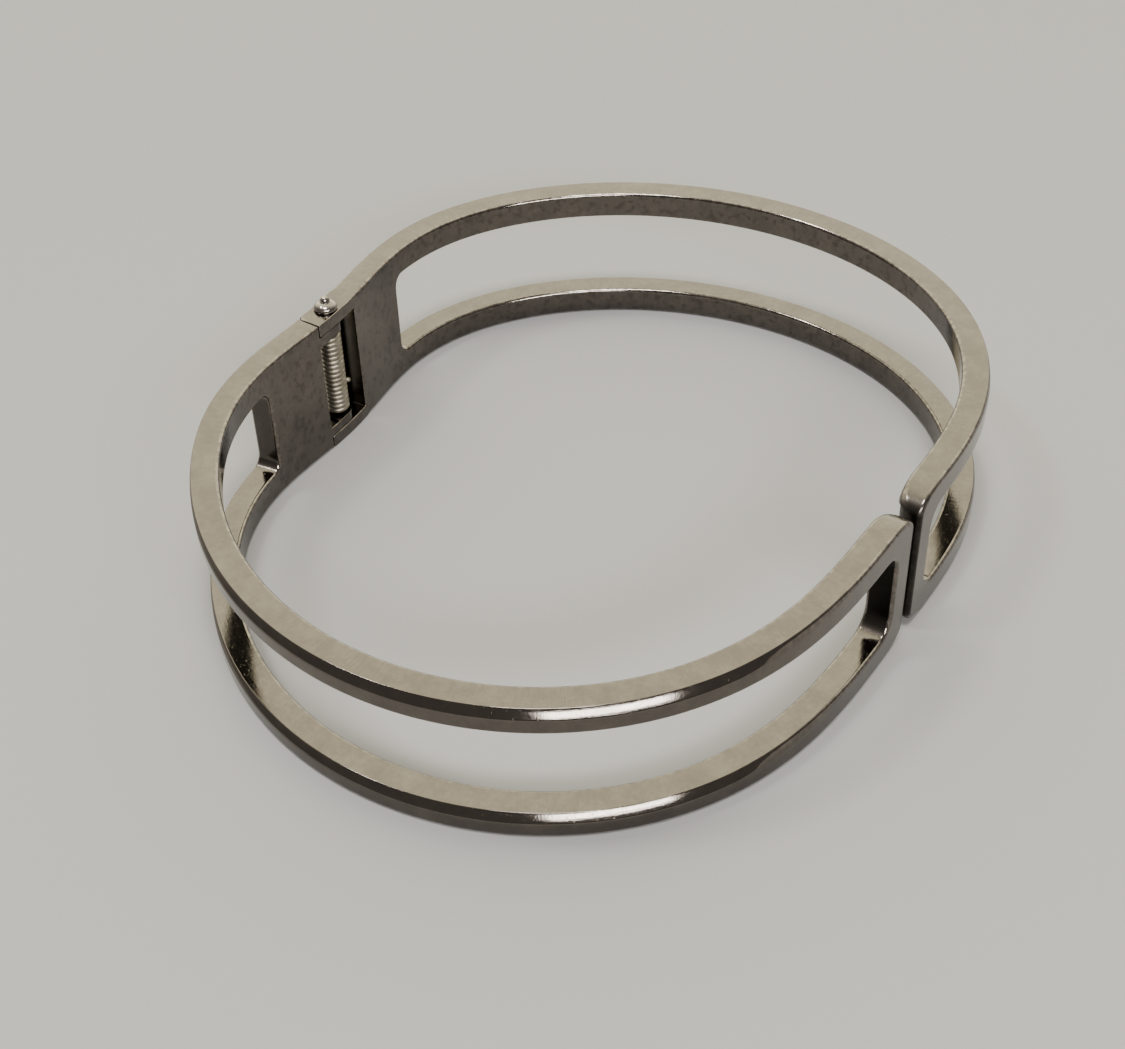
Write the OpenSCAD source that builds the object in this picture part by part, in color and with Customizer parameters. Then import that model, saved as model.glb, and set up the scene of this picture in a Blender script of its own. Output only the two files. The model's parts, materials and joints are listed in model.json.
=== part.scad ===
// Spring-hinged oval bangle: two openwork half hoops that turn on a pin
// at one end of the short axis and meet at a plain opening at the other end.
// Millimetres. +Z runs along the hinge pin, +X points from the hinge to the
// opening, and the origin is the centre of the outline at the resting face.

/* [Outline] */
// Mean outer radius of the hoop
ring_r = 31.1; // [28:0.1:34]
// How much longer the hoop is across than from hinge to opening
oval_r = 0.95; // [0:0.05:2]
// Lop-sided fullness of the two quarters next to the hinge
skew_r = 0.4; // [0:0.05:0.8]
// Depth of the pinch at the hinge
hinge_dip = 3.5; // [2:0.1:4]
// Angle over which the hinge pinch fades out
hinge_dip_angle = 22; // [18:1:26]
// Depth of the pinch at the opening
opening_dip = 5.4; // [3:0.1:7]
// Angle over which the opening pinch fades out
opening_dip_angle = 40; // [34:1:46]

/* [Band] */
// Height of the band along the pin
band_h = 12; // [11:0.1:13]
// Thickness of the band from its outer to its inner face
band_t = 2.17; // [2.1:0.01:2.4]
// Height of the top and bottom rails
rail_h = 2.25; // [1.8:0.05:2.6]
// Width of the upright post at each side of the opening
post_w = 2.3; // [1.8:0.1:3]
// Gap between the two halves at the opening
opening_gap = 0.8; // [0.3:0.05:0.9]
// Distance from the pin to the near edge of each window
window_start = 9; // [7:0.1:11]
// Radius of the window corners beside the hinge plates
window_r_hinge = 1; // [0.5:0.1:1.5]
// Radius of the window corners beside the posts
window_r_post = 1.6; // [0.5:0.1:2]
// Radius of the inner upright edge at the opening ends
end_inner_r = 2; // [1:0.1:2]
// Radius of the top and bottom edges of the opening ends
end_edge_r = 1.5; // [0.8:0.1:2]

/* [Hinge] */
// Radius of the hinge pin
pin_r = 0.35; // [0.3:0.01:0.4]
// Running clearance between the pin and the front half
pin_clearance = 0.03; // [0.02:0.01:0.06]
// Radius of the domed pin head
head_r = 0.95; // [0.7:0.05:1]
// Height of the domed pin head
head_h = 1.15; // [0.7:0.05:1.3]
// Distance from the outer face to the pin axis
pin_depth = 1.1; // [1.05:0.01:1.15]
// How far the pin sits from the long centre line, towards the front half
pin_offset = 0.45; // [0:0.05:0.6]
// Height of the two arms of the back half that hold the pin
arm_h = 1.1; // [1:0.05:1.4]
// Reach of the arms past the pin
arm_reach = 2.2; // [2:0.05:2.4]
// Radius of the ears of the front half around the pin
ear_r = 1.05; // [0.95:0.01:1.05]
// Thickness of the upper ear
upper_ear_h = 0.85; // [0.7:0.05:1.5]
// Thickness of the lower ear
lower_ear_h = 0.8; // [0.3:0.05:1]
// Distance from the pin to the edge of the spring pocket in the back half
pocket_edge = 2.2; // [1.8:0.1:2.6]
// Thickness of the outer skin that closes the pocket
pocket_skin = 0.45; // [0.3:0.05:0.5]
// Distance from the pin over which the front half is hollowed beside the coil
hollow_reach = 2.3; // [2:0.1:3]

/* [Spring] */
// Wire diameter of the closing spring
wire_d = 0.45; // [0.4:0.01:0.5]
// Mean radius of the spring coil
coil_r = 0.7; // [0.68:0.01:0.72]
// Number of turns in the coil
coil_turns = 17; // [12:1:18]
// Height of the spring leg that presses on the back half
leg_z = 4.3; // [3:0.1:6]

/* [Hidden] */
$fn = 48;
plan_step = 2;
corner_steps = 5;
head_steps = 7;
rib_steps = 4;
hinge_play = 0.08;
plate_angle_guess = 163;
reach_out = 4;
end_gap_angle = asin(opening_gap / 2 / (ring_r - oval_r - opening_dip));
ear_top = band_h - arm_h - hinge_play;
ear_bottom = arm_h + hinge_play;
coil_top = ear_top - upper_ear_h - hinge_play;
coil_bottom = ear_bottom + lower_ear_h + hinge_play;
lug_face = coil_r + wire_d / 2 + 0.2;
skin_edge = ear_r + 0.3;
arm_round_angle = 40;
leg_turn = 50;
leg_reach = 1.55;
leg_bore_r = wire_d / 2 + 0.04;
leg_bore_depth = 0.7;
finger_r = wire_d / 2 - 0.02;

// Outer radius of the hoop at the polar angle a, measured from the opening
function hoop_r(a) =
    ring_r - oval_r * cos(2 * a) + skew_r * sin(3 * a)
    - hinge_dip * exp(-pow((180 - abs(a)) / hinge_dip_angle, 2))
    - opening_dip * exp(-pow(a / opening_dip_angle, 2));

// Points of the outline before it is centred, and the direction along it
function raw_point(a) = hoop_r(a) * [cos(a), sin(a)];
function along(a) =
    let (d = raw_point(a + 0.05) - raw_point(a - 0.05))
    d / norm(d);
function inward(a) = [-along(a)[1], along(a)[0]];

outline = [for (a = [-180 : plan_step : 180]) raw_point(a)];
xs = [for (p = outline) p[0]];
ys = [for (p = outline) p[1]];
centre = [max(xs) + min(xs), max(ys) + min(ys)] / 2;
pin_at = [raw_point(180)[0] + pin_depth, -pin_offset] - centre;

// A point of the band at the angle a, the depth v below the outer face
function band_point(a, v) = raw_point(a) + v * inward(a) - centre;

// Plan of one half: side is 1 for the back half and -1 for the front half
module half_plan(side, last) {
    first = side * end_gap_angle;
    n = ceil(last / plan_step);
    turn_in = first + side * end_inner_r / hoop_r(0) * 180 / PI;
    outer = [for (i = [0 : n]) band_point(first + (side * last - first) * i / n, 0)];
    inner = [for (i = [n : -1 : 1]) band_point(turn_in + (side * last - turn_in) * i / n, band_t)];
    corner = [for (i = [corner_steps : -1 : 0])
        let (q = 90 * i / corner_steps)
        band_point(first, band_t - end_inner_r * (1 - sin(q)))
        + side * end_inner_r * (1 - cos(q)) * along(first)];
    polygon(concat(outer, inner, corner));
}

// Side view of a slot that is rounded by r at its end, s = 0 is the end
module slot_end(low, high, r) {
    top = [for (i = [0 : corner_steps])
        let (q = 90 * i / corner_steps)
        [-r * (1 - sin(q)), high - r * (1 - cos(q))]];
    bottom = [for (p = top) [p[0], low + high - p[1]]];
    inside = -r - 1;
    polygon(concat([[inside, low], [inside, high]], top, [for (i = [corner_steps : -1 : 0]) bottom[i]]));
}

// Stands a side-view shape across the band at the angle a; its +x runs
// along the band, away from the opening when to is the side's own sign
module across_band(a, to) {
    t = to * along(a);
    mid = band_point(a, band_t / 2);
    translate([mid[0], mid[1], 0])
        rotate([90, 0, atan2(t[1], t[0])])
            linear_extrude(band_t + 2, center = true)
                children();
}

// The long window of one half, with rounded ends
module window(side) {
    post_angle = side * (end_gap_angle + post_w / hoop_r(0) * 180 / PI);
    plate_angle = side * (180 - asin((window_start - side * pin_offset) / hoop_r(plate_angle_guess)));
    from = post_angle + side * window_r_post / hoop_r(0) * 180 / PI;
    to = plate_angle - side * window_r_hinge / hoop_r(180) * 180 / PI;
    n = ceil(abs(to - from) / plan_step);
    low = rail_h;
    high = band_h - rail_h;
    outer = [for (i = [0 : n]) band_point(from + (to - from) * i / n, -1)];
    inner = [for (i = [n : -1 : 0]) band_point(from + (to - from) * i / n, band_t + 1)];
    translate([0, 0, low])
        linear_extrude(high - low)
            polygon(concat(outer, inner));
    across_band(post_angle, -side)
        slot_end(low, high, window_r_post);
    across_band(plate_angle, side)
        slot_end(low, high, window_r_hinge);
}

// What is cut away to round the top and bottom edges of an opening end
module end_rounding(side) {
    r = end_edge_r;
    a = side * end_gap_angle;
    curve = [for (i = [0 : corner_steps])
        let (q = 90 * i / corner_steps)
        [r * (1 - sin(q)), r * (1 - cos(q))]];
    top = [for (p = curve) [p[0], band_h - p[1]]];
    across_band(a, side) {
        polygon(concat([[-1, band_h + 1], [r, band_h + 1]], top, [[-1, band_h - r]]));
        polygon(concat([[-1, -1], [r, -1]], curve, [[-1, r]]));
    }
}

// A box beside the pin: u runs towards the back half, v runs inwards
module pin_box(u0, u1, v0, v1, z0, z1) {
    translate([pin_at[0] + v0, pin_at[1] + u0, z0])
        cube([v1 - v0, u1 - u0, z1 - z0]);
}

// A cylinder on the pin axis
module pin_bore(r, z0, z1) {
    translate([pin_at[0], pin_at[1], z0])
        cylinder(r = r, h = z1 - z0);
}

// What is cut away to round the outer half of the arms about the pin
module arm_rounding() {
    curve = [for (i = [0 : corner_steps])
        let (q = arm_round_angle * i / corner_steps)
        -arm_reach * [sin(q), cos(q)]];
    last = curve[corner_steps];
    translate([pin_at[0], pin_at[1], -1])
        linear_extrude(band_h + 2)
            polygon(concat([[0, -reach_out]], curve, [[-reach_out, last[1]], [-reach_out, -reach_out]]));
}

// Back half: hoop, window, opening post and the two arms that hold the pin
module back_half() {
    color("dimgray")
    difference() {
        linear_extrude(band_h)
            half_plan(1, 187);
        window(1);
        end_rounding(1);
        // The arms end square on the inside and round on the outside
        pin_box(-reach_out, -arm_reach, -reach_out, reach_out, -1, band_h + 1);
        arm_rounding();
        // The pocket of the spring, and the way out of the ears
        pin_box(-reach_out, pocket_edge, pocket_skin - pin_depth, reach_out, arm_h, band_h - arm_h);
        pin_box(-reach_out, skin_edge, -reach_out, reach_out, arm_h, band_h - arm_h);
        pin_bore(pin_r, -1, band_h + 1);
    }
}

// The slanting hollow that leaves the coil open to the inside of the hoop
module coil_hollow() {
    play = coil_r - 0.3;
    translate([pin_at[0], pin_at[1], ear_bottom + lower_ear_h])
        linear_extrude(ear_top - upper_ear_h - ear_bottom - lower_ear_h)
            polygon([[-play, reach_out], [-play, -lug_face], [play, -hollow_reach],
                [reach_out, -hollow_reach], [reach_out, reach_out]]);
}

// One ear of the front half, closed around the pin
module ear(z0, z1) {
    pin_bore(ear_r, z0, z1);
    pin_box(-lug_face - 0.3, 0, 0.1 - ear_r, ear_r - 0.1, z0, z1);
}

// Front half: hoop, window, opening post, and the lug with its two ears
module front_half() {
    color("dimgray")
    difference() {
        union() {
            difference() {
                linear_extrude(band_h)
                    half_plan(-1, 180);
                pin_box(-lug_face, reach_out, -reach_out, reach_out, -1, band_h + 1);
                pin_box(-arm_reach - hinge_play, reach_out, -reach_out, reach_out, -1, ear_bottom);
                pin_box(-arm_reach - hinge_play, reach_out, -reach_out, reach_out, ear_top, band_h + 1);
                coil_hollow();
            }
            ear(ear_bottom, ear_bottom + lower_ear_h);
            ear(ear_top - upper_ear_h, ear_top);
        }
        window(-1);
        end_rounding(-1);
        pin_bore(pin_r + pin_clearance, -1, band_h + 1);
        // Blind hole that takes the upper leg of the spring
        translate([pin_at[0] - coil_r, pin_at[1] - lug_face + 0.1, coil_top - wire_d])
            rotate([90, 0, 0])
                cylinder(r = leg_bore_r, h = leg_bore_depth);
    }
}

// Hinge pin with its domed head
module hinge_pin() {
    color("gray")
    translate([pin_at[0], pin_at[1], 0]) {
        cylinder(r = pin_r, h = band_h);
        translate([0, 0, band_h])
            rotate_extrude()
                polygon(concat([[0, 0]], [for (i = [0 : head_steps])
                    let (q = 90 * i / head_steps)
                    [i == head_steps ? 0 : head_r * cos(q), head_h * sin(q)]]));
    }
}

// Closing spring: a close-wound coil around the pin and its two legs
module hinge_spring() {
    pitch = (coil_top - coil_bottom) / coil_turns;
    waist = coil_r + 0.4 * wire_d / 2;
    ribs = [for (i = [0 : coil_turns - 1], k = [0 : rib_steps - 1])
        let (q = 180 * k / rib_steps)
        [waist + (coil_r + wire_d / 2 - waist) * sin(q), coil_bottom + pitch * (i + k / rib_steps)]];
    inside = coil_r - wire_d / 2;
    leg_from = coil_r * [sin(leg_turn), -cos(leg_turn)];
    color("darkkhaki")
    translate([pin_at[0], pin_at[1], 0]) {
        rotate_extrude()
            polygon(concat([[inside, coil_bottom]], ribs, [[waist, coil_top], [inside, coil_top]]));
        // Leg that presses on the edge of the pocket
        translate([leg_from[1], leg_from[0], leg_z])
            rotate([0, 90, 90 - leg_turn])
                cylinder(r = finger_r, h = leg_reach);
        // Leg that sits in the lug of the front half
        translate([-coil_r, 0, coil_top - wire_d])
            rotate([90, 0, 0])
                cylinder(r = finger_r, h = lug_face + 0.4);
    }
}

back_half();
front_half();
hinge_pin();
hinge_spring();
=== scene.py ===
"""Looks of a spring-hinged openwork bangle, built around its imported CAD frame.

Lengths in the classes are in millimetres and become metres when a mesh is made.
The frame's axes: +Z along the hinge pin, +X from the hinge to the opening,
+Y to the back half. A point of a band is named by its length along the outer
face from the opening, its depth below the outer face and its height.
"""

import json
import logging
import math
from dataclasses import dataclass, field
from enum import Enum

import bmesh
import bpy
import numpy as np
from mathutils import Matrix, Vector
from mathutils.geometry import delaunay_2d_cdt


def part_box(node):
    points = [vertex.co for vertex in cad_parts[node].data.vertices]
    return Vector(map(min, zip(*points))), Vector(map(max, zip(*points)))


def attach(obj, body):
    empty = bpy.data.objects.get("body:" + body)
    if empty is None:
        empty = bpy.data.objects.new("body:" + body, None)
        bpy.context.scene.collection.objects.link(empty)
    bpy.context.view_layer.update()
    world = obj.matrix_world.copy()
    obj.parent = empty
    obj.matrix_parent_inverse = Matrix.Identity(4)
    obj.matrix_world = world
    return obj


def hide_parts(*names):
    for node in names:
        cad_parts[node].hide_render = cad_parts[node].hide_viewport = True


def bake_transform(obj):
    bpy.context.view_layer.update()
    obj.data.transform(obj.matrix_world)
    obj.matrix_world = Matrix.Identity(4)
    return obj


LOG = logging.getLogger("bangle")
MM = 0.001
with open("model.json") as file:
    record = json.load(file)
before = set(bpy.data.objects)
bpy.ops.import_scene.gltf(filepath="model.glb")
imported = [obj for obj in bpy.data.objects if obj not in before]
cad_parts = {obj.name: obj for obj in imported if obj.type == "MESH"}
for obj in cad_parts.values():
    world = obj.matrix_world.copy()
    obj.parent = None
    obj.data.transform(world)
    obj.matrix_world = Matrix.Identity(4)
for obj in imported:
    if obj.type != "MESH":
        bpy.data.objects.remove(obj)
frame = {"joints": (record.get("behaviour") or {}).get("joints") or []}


class Side(Enum):
    """The two halves, by the sign of their side of the long axis."""

    BACK = 1
    FRONT = -1


class Turn(Enum):
    """The face whose edge is rounded."""

    OUTER = 0
    INNER = 1


# --- Shader maths ---


class Signal:
    """A shader socket that takes part in ordinary arithmetic."""

    def __init__(self, recipe: "Recipe", socket: bpy.types.NodeSocket) -> None:
        """Wraps a socket of a recipe's node tree."""
        self.recipe = recipe
        self.socket = socket

    def _math(self, operation: str, *values: "Signal | float") -> "Signal":
        """Adds one Math node and returns its result."""
        return self.recipe.add("ShaderNodeMath", {"operation": operation}, dict(enumerate(values)))

    def __add__(self, other: "Signal | float") -> "Signal":
        """Sum."""
        return self._math("ADD", self, other)

    __radd__ = __add__

    def __sub__(self, other: "Signal | float") -> "Signal":
        """Difference."""
        return self._math("SUBTRACT", self, other)

    def __rsub__(self, other: "Signal | float") -> "Signal":
        """Difference from a number."""
        return self._math("SUBTRACT", other, self)

    def __mul__(self, other: "Signal | float") -> "Signal":
        """Product."""
        return self._math("MULTIPLY", self, other)

    __rmul__ = __mul__

    def step(self, low: float, high: float) -> "Signal":
        """Rises smoothly from 0 at low to 1 at high.

        Args:
            low: Value at which the result is 0.
            high: Value at which the result is 1.

        Returns:
            A signal between 0 and 1.
        """
        settings = {"interpolation_type": "SMOOTHSTEP", "clamp": True}
        inputs = {"Value": self, "From Min": low, "From Max": high, "To Min": 0.0, "To Max": 1.0}
        return self.recipe.add("ShaderNodeMapRange", settings, inputs)


class Recipe:
    """The node tree of one material, written with expressions."""

    def __init__(self, name: str) -> None:
        """Makes an empty material with its output node.

        Args:
            name: The material's name.
        """
        self.material = bpy.data.materials.new(name)
        self.material.use_nodes = True
        self.tree = self.material.node_tree
        self.tree.nodes.clear()
        self.output = self.tree.nodes.new("ShaderNodeOutputMaterial")

    def add(
        self,
        kind: str,
        settings: dict | None = None,
        inputs: dict | None = None,
        output: int | str = 0,
    ) -> Signal:
        """Adds any node.

        Args:
            kind: The node's type name.
            settings: Properties of the node, and "stops" for a colour ramp.
            inputs: Values or signals by socket name or number.
            output: The socket to return.

        Returns:
            The chosen output as a signal.
        """
        node = self.tree.nodes.new(kind)
        for key, value in (settings or {}).items():
            if key == "stops":
                self.set_stops(node.color_ramp, value)
            else:
                setattr(node, key, value)
        for key, value in (inputs or {}).items():
            if isinstance(value, Signal):
                self.tree.links.new(value.socket, node.inputs[key])
            else:
                node.inputs[key].default_value = value
        return Signal(self, node.outputs[output])

    @staticmethod
    def set_stops(ramp: bpy.types.ColorRamp, stops: list) -> None:
        """Fills a colour ramp.

        Args:
            ramp: The ramp to fill.
            stops: Pairs of a position and a colour.
        """
        while len(ramp.elements) < len(stops):
            ramp.elements.new(1.0)
        for element, (position, colour) in zip(ramp.elements, stops):
            element.position = position
            element.color = (*colour, 1.0)

    def mix(self, share: Signal | float, first: object, second: object) -> Signal:
        """Mixes two colours.

        Args:
            share: 0 gives the first colour and 1 the second.
            first: A colour or a signal.
            second: A colour or a signal.

        Returns:
            The mixed colour.
        """
        colours = [c if isinstance(c, Signal) else (*c, 1.0) for c in (first, second)]
        inputs = {0: share, 6: colours[0], 7: colours[1]}
        return self.add("ShaderNodeMix", {"data_type": "RGBA"}, inputs, 2)

    def stretch(self, vector: Signal, scale: tuple[float, float, float]) -> Signal:
        """Multiplies a vector by a scale, part by part."""
        return self.add("ShaderNodeVectorMath", {"operation": "MULTIPLY"}, {0: vector, 1: scale})

    def noise(
        self, vector: Signal, scale: float, detail: float = 3.0, rough: float = 0.55
    ) -> Signal:
        """Noise from 0 to 1 over a vector.

        Args:
            vector: Where the noise is read.
            scale: How many features fit in one unit.
            detail: Octaves of the noise.
            rough: Strength of the finer octaves.

        Returns:
            The noise value.
        """
        inputs = {"Vector": vector, "Scale": scale, "Detail": detail, "Roughness": rough}
        return self.add("ShaderNodeTexNoise", {"noise_dimensions": "3D"}, inputs)

    def bump(self, strength: float, distance: float, height: Signal) -> Signal:
        """Turns a relief into a surface direction; its distance is in millimetres."""
        inputs = {"Strength": strength, "Distance": distance * MM, "Height": height}
        return self.add("ShaderNodeBump", {}, inputs)

    def metal(self, colour: Signal, rough: Signal, normal: Signal) -> bpy.types.Material:
        """Ends the recipe as bare metal."""
        inputs = {"Base Color": colour, "Metallic": 1.0, "Roughness": rough, "Normal": normal}
        return self.finish(inputs)

    def finish(self, inputs: dict) -> bpy.types.Material:
        """Ends the recipe in a Principled shader.

        Args:
            inputs: Values or signals of the shader by socket name.

        Returns:
            The finished material.
        """
        shader = self.add("ShaderNodeBsdfPrincipled", {}, inputs)
        self.tree.links.new(shader.socket, self.output.inputs["Surface"])
        return self.material


# --- Finishes ---


@dataclass(frozen=True)
class DarkPlating:
    """Polished dark nickel plating with mottling, scratches and worn edges, turned near black by
    painted shade where its painted-shade attribute is set.
    """

    name: str = "dark_plating"
    tone: tuple = (0.145, 0.131, 0.115)
    shade: tuple = (0.105, 0.094, 0.085)
    worn: tuple = (0.34, 0.31, 0.27)
    tarnished: tuple = (0.055, 0.048, 0.044)
    gloss: float = 0.05
    scratch_depth: float = 0.04

    def build(self) -> bpy.types.Material:
        """Makes the material.

        Returns:
            The finished material.
        """
        r = Recipe(self.name)
        band = r.add("ShaderNodeAttribute", {"attribute_name": "band"}, output="Vector")
        edge = r.add("ShaderNodeAttribute", {"attribute_name": "edge"}, output="Fac")
        recess = r.add("ShaderNodeAttribute", {"attribute_name": "recess"}, output="Fac")
        cloud = r.noise(band, 0.55, 4.0, 0.6)
        mottle = r.noise(band, 2.3, 5.0, 0.65)
        brushed = r.noise(r.stretch(band, (9.0, 0.35, 0.9)), 1.0, 3.0, 0.7)
        strokes = brushed.step(0.58, 0.70)
        drag = r.noise(r.stretch(band, (0.22, 9.0, 9.0)), 1.0, 3.0, 0.7)
        nick = r.noise(band, 6.5, 2.0, 0.5).step(0.69, 0.76)
        blotch = (cloud * 0.6 + mottle * 0.4).step(0.30, 0.76)
        plating = r.mix(blotch - strokes * 0.6, self.shade, self.tone)
        depth = r.add("ShaderNodeSeparateXYZ", {}, {0: band}, 1)
        tarnish = r.noise(band, 1.5, 5.0, 0.7).step(0.48, 0.64) * depth.step(1.9, 2.15)
        plating = r.mix(tarnish * 0.55, plating, self.tarnished)
        wear = edge * mottle.step(0.36, 0.66)
        metal = r.mix(wear * 0.45, plating, self.worn)
        # Painted shade: the shade attribute read above turns the colour near black in the pocket,
        # the hollow, the ears, the window side walls and the opening's end faces.
        colour = r.mix(recess, metal, (0.002, 0.0018, 0.0016))
        rough = self.gloss + 0.06 * (1 - blotch) + 0.05 * strokes + 0.10 * nick + 0.35 * recess
        relief = brushed * 0.45 + drag * 0.35 + mottle * 0.5 - nick * 1.2
        return r.metal(colour, rough, r.bump(0.16, self.scratch_depth, relief))


@dataclass(frozen=True)
class SpringWire:
    """Bright drawn wire with a warm oxide bloom."""

    name: str = "spring_wire"
    bright: tuple = (0.33, 0.305, 0.25)
    warm: tuple = (0.23, 0.205, 0.16)
    gloss: float = 0.36

    def build(self) -> bpy.types.Material:
        """Makes the material.

        Returns:
            The finished material.
        """
        r = Recipe(self.name)
        place = r.add("ShaderNodeTexCoord", output="Object")
        bloom = r.noise(place, 900.0, 3.0, 0.6).step(0.35, 0.65)
        drawn = r.noise(r.stretch(place, (600.0, 600.0, 9000.0)), 1.0, 2.0, 0.6)
        colour = r.mix(bloom, self.warm, self.bright)
        rough = self.gloss + 0.16 * (1 - bloom)
        return r.metal(colour, rough, r.bump(0.2, 0.02, drawn))


@dataclass(frozen=True)
class PinSteel:
    """The polished pin, rubbed bright on its dome."""

    name: str = "pin_steel"
    dome: tuple = (0.30, 0.28, 0.25)
    rim: tuple = (0.15, 0.14, 0.125)
    gloss: float = 0.10

    def build(self) -> bpy.types.Material:
        """Makes the material.

        Returns:
            The finished material.
        """
        r = Recipe(self.name)
        place = r.add("ShaderNodeTexCoord", output="Object")
        smear = r.noise(place, 1500.0, 3.0, 0.6)
        dents = r.noise(place, 3200.0, 2.0, 0.5)
        colour = r.mix(smear.step(0.3, 0.7), self.rim, self.dome)
        return r.metal(colour, self.gloss + 0.12 * smear, r.bump(0.25, 0.03, dents))


@dataclass(frozen=True)
class PaleFloor:
    """A plain pale surface to lie on."""

    name: str = "pale_floor"
    colour: tuple = (0.245, 0.243, 0.247)

    def build(self) -> bpy.types.Material:
        """Makes the material.

        Returns:
            The finished material.
        """
        r = Recipe(self.name)
        return r.finish({"Base Color": (*self.colour, 1.0), "Roughness": 0.9})


# --- Shapes ---


@dataclass
class Outline:
    """The hoop's plan: an oval pinched in at the hinge and at the opening."""

    mean: float = 31.1
    oval: float = 0.95
    skew: float = 0.4
    hinge_dip: float = 3.5
    hinge_fade: float = 22.0
    opening_dip: float = 5.4
    opening_fade: float = 40.0
    gap: float = 0.8
    centre: np.ndarray = field(default_factory=lambda: np.zeros(2))

    def radius(self, a: np.ndarray) -> np.ndarray:
        """Polar radius of the outer face.

        Args:
            a: Angles from the opening, in degrees.

        Returns:
            One radius per angle.
        """
        rad = np.radians(a)
        return (
            self.mean
            - self.oval * np.cos(2 * rad)
            + self.skew * np.sin(3 * rad)
            - self.hinge_dip * np.exp(-(((180 - np.abs(a)) / self.hinge_fade) ** 2))
            - self.opening_dip * np.exp(-((a / self.opening_fade) ** 2))
        )

    def point(self, a: np.ndarray) -> np.ndarray:
        """Points of the outer face, shape (n, 2), in the frame."""
        rad = np.radians(a)
        return self.radius(a)[:, None] * np.stack([np.cos(rad), np.sin(rad)], 1) - self.centre

    def settle(self, low: Vector, high: Vector) -> None:
        """Moves the outline so that its box has the middle of the CAD box.

        Args:
            low: Lowest corner of the two CAD halves, in metres.
            high: Their highest corner.
        """
        quarter_degrees = np.linspace(-180, 180, 1441)
        raw = self.point(quarter_degrees)
        middle = (raw.max(0) + raw.min(0)) / 2
        self.centre = self.centre + middle - np.array((low + high)[:2]) / 2 / MM


class Strip:
    """One half's band, straightened: maps length, depth and height to the frame."""

    last_angle = 190.0
    samples = 4000

    def __init__(self, outline: Outline, side: Side, pin_y: float) -> None:
        """Samples the outline from the opening end to past the hinge pin.

        Args:
            outline: The hoop's plan.
            side: Which half the strip follows.
            pin_y: The hinge pin's y in the frame.
        """
        first = math.degrees(outline.gap / 2 / float(outline.radius(np.array([0.0]))[0]))
        angles = side.value * np.linspace(first, self.last_angle, self.samples)
        self.points = outline.point(angles)
        steps = np.linalg.norm(np.diff(self.points, axis=0), axis=1)
        self.length = np.concatenate([[0.0], np.cumsum(steps)])
        tangent = np.gradient(self.points, self.length, axis=0)
        self.tangent = tangent / np.linalg.norm(tangent, axis=1)[:, None]
        turned = np.stack([-self.tangent[:, 1], self.tangent[:, 0]], 1)
        self.inward = turned * side.value
        near_hinge = self.points[:, 0] < 0
        order = side.value * self.points[near_hinge, 1]
        start = int(np.argmax(near_hinge))
        self.pin_s = float(np.interp(-side.value * pin_y, -order, self.length[start:]))

    def _read(self, s: np.ndarray, table: np.ndarray) -> np.ndarray:
        """Reads a table of 2D values at lengths s."""
        return np.stack([np.interp(s, self.length, table[:, k]) for k in (0, 1)], 1)

    def place(self, s: np.ndarray, v: np.ndarray, z: np.ndarray) -> np.ndarray:
        """Bends places into the frame.

        Args:
            s: Lengths along the outer face from the opening.
            v: Depths below the outer face.
            z: Heights.

        Returns:
            Points in millimetres, shape (n, 3).
        """
        plan = self._read(s, self.points) + v[:, None] * self._read(s, self.inward)
        over = np.minimum(s, 0.0)[:, None] * self._read(s * 0, self.tangent)
        return np.column_stack([plan + over, z])

    def turn(self, s: np.ndarray, ns: np.ndarray, nv: np.ndarray, nz: np.ndarray) -> np.ndarray:
        """Turns directions into the frame.

        Args:
            s: Lengths at which they stand.
            ns: Their parts along the length.
            nv: Their parts into the depth.
            nz: Their upward parts.

        Returns:
            Unit directions, shape (n, 3).
        """
        plan = ns[:, None] * self._read(s, self.tangent) + nv[:, None] * self._read(s, self.inward)
        full = np.column_stack([plan, nz])
        return full / np.linalg.norm(full, axis=1)[:, None]


@dataclass
class Corner:
    """A right-angled corner of a panel: its place and how far it is rounded each way."""

    s: float
    z: float
    before: float
    after: float


def trace_corners(corners: list[Corner], step: float, arc_steps: int = 10) -> np.ndarray:
    """Walks round a shape of straight edges and elliptical corners.

    Args:
        corners: The corners, counter-clockwise.
        step: Greatest distance between points on a straight edge.
        arc_steps: Points on each rounded corner.

    Returns:
        Rows of s, z and the outward direction's two parts.
    """
    count = len(corners)
    spots = [np.array([c.s, c.z]) for c in corners]
    rows = []
    for i, corner in enumerate(corners):
        back = spots[i - 1] - spots[i]
        ahead = spots[(i + 1) % count] - spots[i]
        e1, e2 = back / np.linalg.norm(back), ahead / np.linalg.norm(ahead)
        n1 = np.array([-e1[1], e1[0]])
        n2 = np.array([e2[1], -e2[0]])
        for k in range(arc_steps + 1):
            q = math.pi / 2 * k / arc_steps
            move = e1 * corner.before * (1 - math.sin(q)) + e2 * corner.after * (1 - math.cos(q))
            normal = n1 * math.cos(q) / max(corner.after, 1e-6) + n2 * math.sin(q) / max(
                corner.before, 1e-6
            )
            normal = normal / np.linalg.norm(normal)
            rows.append([*(spots[i] + move), *normal])
        end = spots[i] + e2 * corner.after
        nxt = spots[(i + 1) % count] - e2 * corners[(i + 1) % count].before
        gap = float(np.linalg.norm(nxt - end))
        pieces = max(1, math.ceil(gap / step))
        for k in range(1, pieces):
            rows.append([*(end + (nxt - end) * k / pieces), *n2])
    return np.array(rows)


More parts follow.
